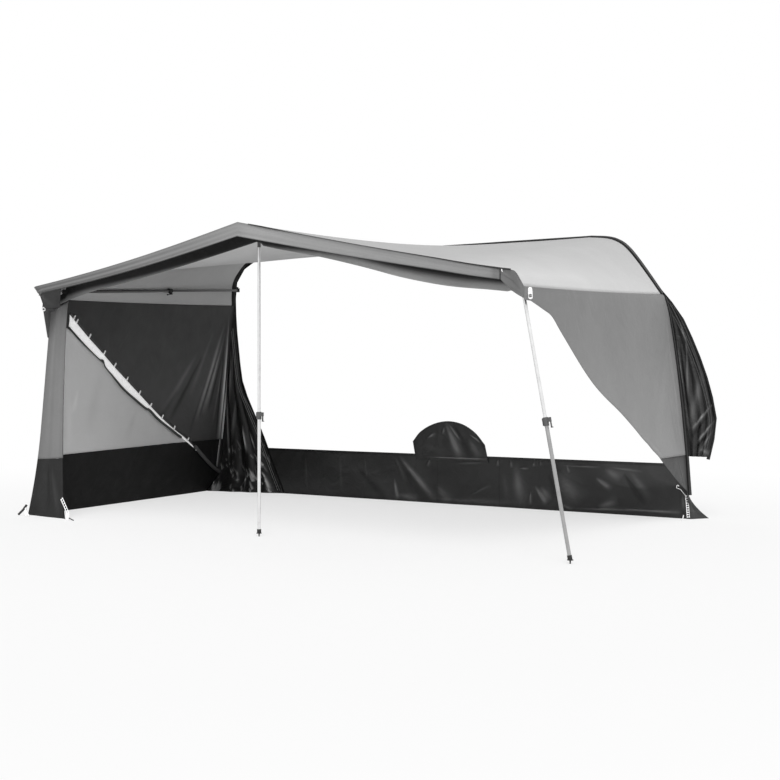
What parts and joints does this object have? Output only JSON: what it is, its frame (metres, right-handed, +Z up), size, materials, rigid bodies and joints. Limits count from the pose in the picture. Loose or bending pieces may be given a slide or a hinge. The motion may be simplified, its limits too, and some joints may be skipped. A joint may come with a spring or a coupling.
{
  "type": "caravan awning",
  "caption": "Open-fronted caravan awning with a pitched grey canopy, telescopic legs and rafters, tapering wings and a dark draught skirt.",
  "frame": {"origin": "flat tip of the middle leg's foot, on the ground", "axes": "+X along the caravan towards its hitch, +Y from the front legs to the caravan, +Z up"},
  "size_m": [5.2781, 3.1725, 2.4039],
  "materials": {
    "roof_cloth": "light grey woven polyester, faint sheen",
    "visor_cloth": "mid grey woven polyester",
    "wing_cloth": "mid grey woven polyester",
    "panel_cloth": "light grey woven polyester",
    "mud_cloth": "dark coated cloth, slightly glossy",
    "beading": "black welt",
    "casting_plastic": "moulded, matt",
    "tube_metal": "bright drawn tube",
    "clamp_plastic": "moulded, satin",
    "strap_rubber": "pale moulded strap"
  },
  "bodies": {
    "canopy": {"roof_main_left": "roof_cloth", "roof_main_right": "roof_cloth", "roof_side_left": "roof_cloth", "roof_side_right": "roof_cloth", "fascia_left": "visor_cloth", "fascia_right": "visor_cloth", "corner_cap_left": "visor_cloth", "corner_cap_right": "visor_cloth", "valance": "visor_cloth", "wing_left": "wing_cloth", "wing_right": "wing_cloth", "front_return": "wing_cloth", "side_panel": "panel_cloth", "wing_mud_hem_left": "mud_cloth", "wing_mud_hem_right": "mud_cloth", "rail_flap_left": "mud_cloth", "rail_flap_right": "mud_cloth", "side_panel_mud_hem": "mud_cloth", "front_return_mud_hem": "mud_cloth", "draught_skirt": "mud_cloth", "wheel_arch_cover": "mud_cloth", "rail_beading": "beading", "peak_casting": "casting_plastic", "corner_casting_left": "casting_plastic", "corner_casting_right": "casting_plastic", "front_bar_left": "tube_metal", "front_bar_right": "tube_metal", "leg_upper_tube_left": "tube_metal", "rafter_front_tube_left": "tube_metal", "leg_upper_tube_middle": "tube_metal", "rafter_front_tube_middle": "tube_metal", "leg_upper_tube_right": "tube_metal", "rafter_front_tube_right": "tube_metal", "rafter_clamp_left": "clamp_plastic", "rafter_clamp_middle": "clamp_plastic", "rafter_clamp_right": "clamp_plastic", "ladder_strap_return_inner": "strap_rubber", "ladder_strap_return_outer": "strap_rubber", "ladder_strap_wing": "strap_rubber"},
    "lower_leg_left": {"leg_lower_tube_left": "tube_metal", "leg_clamp_left": "clamp_plastic", "leg_foot_left": "casting_plastic"},
    "leg_lever_left": {"leg_lever_left": "clamp_plastic"},
    "rear_rafter_left": {"rafter_rear_tube_left": "tube_metal", "rail_claw_left": "casting_plastic"},
    "rafter_lever_left": {"rafter_lever_left": "clamp_plastic"},
    "lower_leg_middle": {"leg_lower_tube_middle": "tube_metal", "leg_clamp_middle": "clamp_plastic", "leg_foot_middle": "casting_plastic"},
    "leg_lever_middle": {"leg_lever_middle": "clamp_plastic"},
    "rear_rafter_middle": {"rafter_rear_tube_middle": "tube_metal", "rail_claw_middle": "casting_plastic"},
    "rafter_lever_middle": {"rafter_lever_middle": "clamp_plastic"},
    "lower_leg_right": {"leg_lower_tube_right": "tube_metal", "leg_clamp_right": "clamp_plastic", "leg_foot_right": "casting_plastic"},
    "leg_lever_right": {"leg_lever_right": "clamp_plastic"},
    "rear_rafter_right": {"rafter_rear_tube_right": "tube_metal", "rail_claw_right": "casting_plastic"},
    "rafter_lever_right": {"rafter_lever_right": "clamp_plastic"}
  },
  "joints": [
    {"name": "leg_slide_left", "type": "slide", "parent": "canopy", "child": "lower_leg_left", "axis": [0.1245, -0.0602, 0.9904], "range_m": [-0.2, 0.42]},
    {"name": "leg_lever_turn_left", "type": "hinge", "parent": "lower_leg_left", "child": "leg_lever_left", "pos_m": [-2.24195, 0.14669, 0.89955], "axis": [0, -0.9982, -0.0606], "range_deg": [0, 100]},
    {"name": "rafter_slide_left", "type": "slide", "parent": "canopy", "child": "rear_rafter_left", "axis": [0.1238, -0.99, -0.0677], "range_m": [0, 0.9]},
    {"name": "rafter_lever_turn_left", "type": "hinge", "parent": "canopy", "child": "rafter_lever_left", "pos_m": [-2.33416, 1.59943, 1.96703], "axis": [0.9923, 0.1241, 0], "range_deg": [0, 100]},
    {"name": "leg_slide_middle", "type": "slide", "parent": "canopy", "child": "lower_leg_middle", "axis": [0, 0, 1], "range_m": [-0.2, 0.42]},
    {"name": "leg_lever_turn_middle", "type": "hinge", "parent": "lower_leg_middle", "child": "leg_lever_middle", "pos_m": [0.0275, 0, 0.903], "axis": [0, -1, 0], "range_deg": [0, 100]},
    {"name": "rafter_slide_middle", "type": "slide", "parent": "canopy", "child": "rear_rafter_middle", "axis": [0, -0.9999, -0.0127], "range_m": [0, 0.9]},
    {"name": "rafter_lever_turn_middle", "type": "hinge", "parent": "canopy", "child": "rafter_lever_middle", "pos_m": [0, 1.55993, 2.25194], "axis": [1, 0, 0], "range_deg": [0, 100]},
    {"name": "leg_slide_right", "type": "slide", "parent": "canopy", "child": "lower_leg_right", "axis": [-0.1892, 0, 0.9819], "range_m": [-0.2, 0.42]},
    {"name": "leg_lever_turn_right", "type": "hinge", "parent": "lower_leg_right", "child": "leg_lever_right", "pos_m": [2.34727, 0, 0.90815], "axis": [0, -1, 0], "range_deg": [0, 100]},
    {"name": "rafter_slide_right", "type": "slide", "parent": "canopy", "child": "rear_rafter_right", "axis": [0.0911, -0.9931, -0.0744], "range_m": [0, 0.9]},
    {"name": "rafter_lever_turn_right", "type": "hinge", "parent": "canopy", "child": "rafter_lever_right", "pos_m": [2.00181, 1.56159, 1.90201], "axis": [0.9958, 0.0913, 0], "range_deg": [0, 100]}
  ]
}
